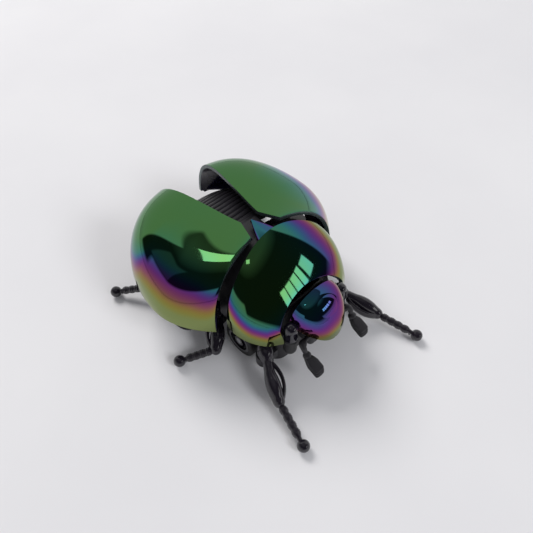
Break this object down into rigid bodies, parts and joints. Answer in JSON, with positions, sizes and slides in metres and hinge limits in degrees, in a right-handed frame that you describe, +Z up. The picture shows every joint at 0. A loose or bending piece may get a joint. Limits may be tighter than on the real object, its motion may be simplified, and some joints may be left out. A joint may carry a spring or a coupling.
{
  "type": "beetle robot kit",
  "caption": "Beetle robot toy: mirror-plated wing covers that swing open, plated thorax and head, ribbed black body, slotted legs, antennae, geared drive axle with wheels.",
  "frame": {"origin": "on the surface that the robot stands on, under the middle of its footprint", "axes": "+Z up, the beetle faces -Y, its left side is +X"},
  "size_m": [0.0912, 0.11, 0.0497],
  "materials": {
    "plated_shell": "vacuum-metallised mirror plating over moulded plastic, green to violet to gold with the viewing angle",
    "gloss_black": "glossy moulded black plastic",
    "satin_black": "satin black moulded plastic",
    "eye_black": "polished black",
    "tyre_rubber": "black rubber tyre",
    "roller_plastic": "black acetal",
    "gear_plastic": "natural white acetal",
    "frame_plastic": "dark grey moulded plastic",
    "steel": "drawn steel",
    "motor_steel": "zinc-plated motor can",
    "pinion_brass": "brass",
    "cell_steel": "nickel-plated cell can",
    "contact_brass": "nickelled spring brass",
    "board_green": "glass-fibre board with green lacquer",
    "component_black": "moulded component bodies"
  },
  "bodies": {
    "hull": {"abdomen_top": "satin_black", "battery_contacts": "contact_brass", "battery_door": "satin_black", "battery_holder": "frame_plastic", "belly_chassis": "satin_black", "board_parts": "component_black", "button_cells": "cell_steel", "case_screws": "steel", "cheek_left": "satin_black", "cheek_right": "satin_black", "circuit_board": "board_green", "deck_plate": "frame_plastic", "door_screw": "steel", "eye_left": "eye_black", "eye_right": "eye_black", "gear_pin": "steel", "gearbox_frame": "frame_plastic", "head_core": "satin_black", "head_shell": "plated_shell", "motor": "motor_steel", "pronotum_shell": "plated_shell", "roller_pin": "steel", "scutellum": "plated_shell", "switch_body": "component_black", "thorax_collar": "satin_black", "thorax_housing": "satin_black", "wing_pin_left": "steel", "wing_pin_right": "steel"},
    "wing_left": {"wing_cover_left": "plated_shell"},
    "wing_right": {"wing_cover_right": "plated_shell"},
    "axle": {"drive_axle": "steel", "axle_gear": "gear_plastic", "wheel_hub_left": "gloss_black", "wheel_hub_right": "gloss_black", "tyre_left": "tyre_rubber", "tyre_right": "tyre_rubber"},
    "idler": {"reduction_gear": "gear_plastic"},
    "rotor": {"motor_shaft": "steel", "motor_pinion": "pinion_brass"},
    "roller": {"rear_roller": "roller_plastic"},
    "switch": {"switch_knob": "gloss_black"},
    "feeler_left": {"antenna_left": "satin_black"},
    "feeler_right": {"antenna_right": "satin_black"},
    "limb_front_left": {"leg_front_left": "gloss_black"},
    "limb_front_right": {"leg_front_right": "gloss_black"},
    "limb_mid_left": {"leg_mid_left": "gloss_black"},
    "limb_mid_right": {"leg_mid_right": "gloss_black"},
    "limb_rear_left": {"leg_rear_left": "gloss_black"},
    "limb_rear_right": {"leg_rear_right": "gloss_black"}
  },
  "joints": [
    {"name": "wing_left_hinge", "type": "hinge", "parent": "hull", "child": "wing_left", "pos_m": [0.008, -0.00908, 0.0384], "axis": [0, 0, -1], "range_deg": [-9.9, 5]},
    {"name": "wing_right_hinge", "type": "hinge", "parent": "hull", "child": "wing_right", "pos_m": [-0.008, -0.00908, 0.0384], "axis": [0, 0, 1], "range_deg": [-9.9, 5]},
    {"name": "axle_spin", "type": "hinge", "parent": "hull", "child": "axle", "pos_m": [0, -0.00698, 0.0075], "axis": [1, 0, 0], "continuous": true},
    {"name": "idler_spin", "type": "hinge", "parent": "hull", "child": "idler", "pos_m": [0.007, -0.00279, 0.01286], "axis": [1, 0, 0], "continuous": true},
    {"name": "rotor_spin", "type": "hinge", "parent": "hull", "child": "rotor", "pos_m": [0.006, 0.00139, 0.01822], "axis": [1, 0, 0], "continuous": true},
    {"name": "roller_spin", "type": "hinge", "parent": "hull", "child": "roller", "pos_m": [0, 0.04152, 0.004], "axis": [1, 0, 0], "continuous": true},
    {"name": "switch_slide", "type": "slide", "parent": "hull", "child": "switch", "axis": [0, 1, 0], "range_m": [0, 0.003]},
    {"name": "antenna_left_hinge", "type": "hinge", "parent": "hull", "child": "feeler_left", "pos_m": [0.006, -0.02838, 0.0174], "axis": [1, 0, 0], "range_deg": [-15, 15]},
    {"name": "antenna_right_hinge", "type": "hinge", "parent": "hull", "child": "feeler_right", "pos_m": [-0.006, -0.02838, 0.0174], "axis": [1, 0, 0], "range_deg": [-15, 15]},
    {"name": "leg_front_left_swivel", "type": "hinge", "parent": "hull", "child": "limb_front_left", "pos_m": [0.0201, -0.01958, 0.011], "axis": [0, 0, 1], "range_deg": [-12, 12]},
    {"name": "leg_front_right_swivel", "type": "hinge", "parent": "hull", "child": "limb_front_right", "pos_m": [-0.0201, -0.01958, 0.011], "axis": [0, 0, -1], "range_deg": [-12, 12]},
    {"name": "leg_mid_left_swivel", "type": "hinge", "parent": "hull", "child": "limb_mid_left", "pos_m": [0.0201, 0.00702, 0.011], "axis": [0, 0, 1], "range_deg": [-5, 12]},
    {"name": "leg_mid_right_swivel", "type": "hinge", "parent": "hull", "child": "limb_mid_right", "pos_m": [-0.0201, 0.00702, 0.011], "axis": [0, 0, -1], "range_deg": [-5, 12]},
    {"name": "leg_rear_left_swivel", "type": "hinge", "parent": "hull", "child": "limb_rear_left", "pos_m": [0.0201, 0.03102, 0.011], "axis": [0, 0, 1], "range_deg": [-12, 12]},
    {"name": "leg_rear_right_swivel", "type": "hinge", "parent": "hull", "child": "limb_rear_right", "pos_m": [-0.0201, 0.03102, 0.011], "axis": [0, 0, -1], "range_deg": [-12, 12]}
  ],
  "couplings": [
    {"joint": "idler_spin", "follows": "axle_spin", "ratio": -1.4286},
    {"joint": "rotor_spin", "follows": "axle_spin", "ratio": 3.4286}
  ]
}
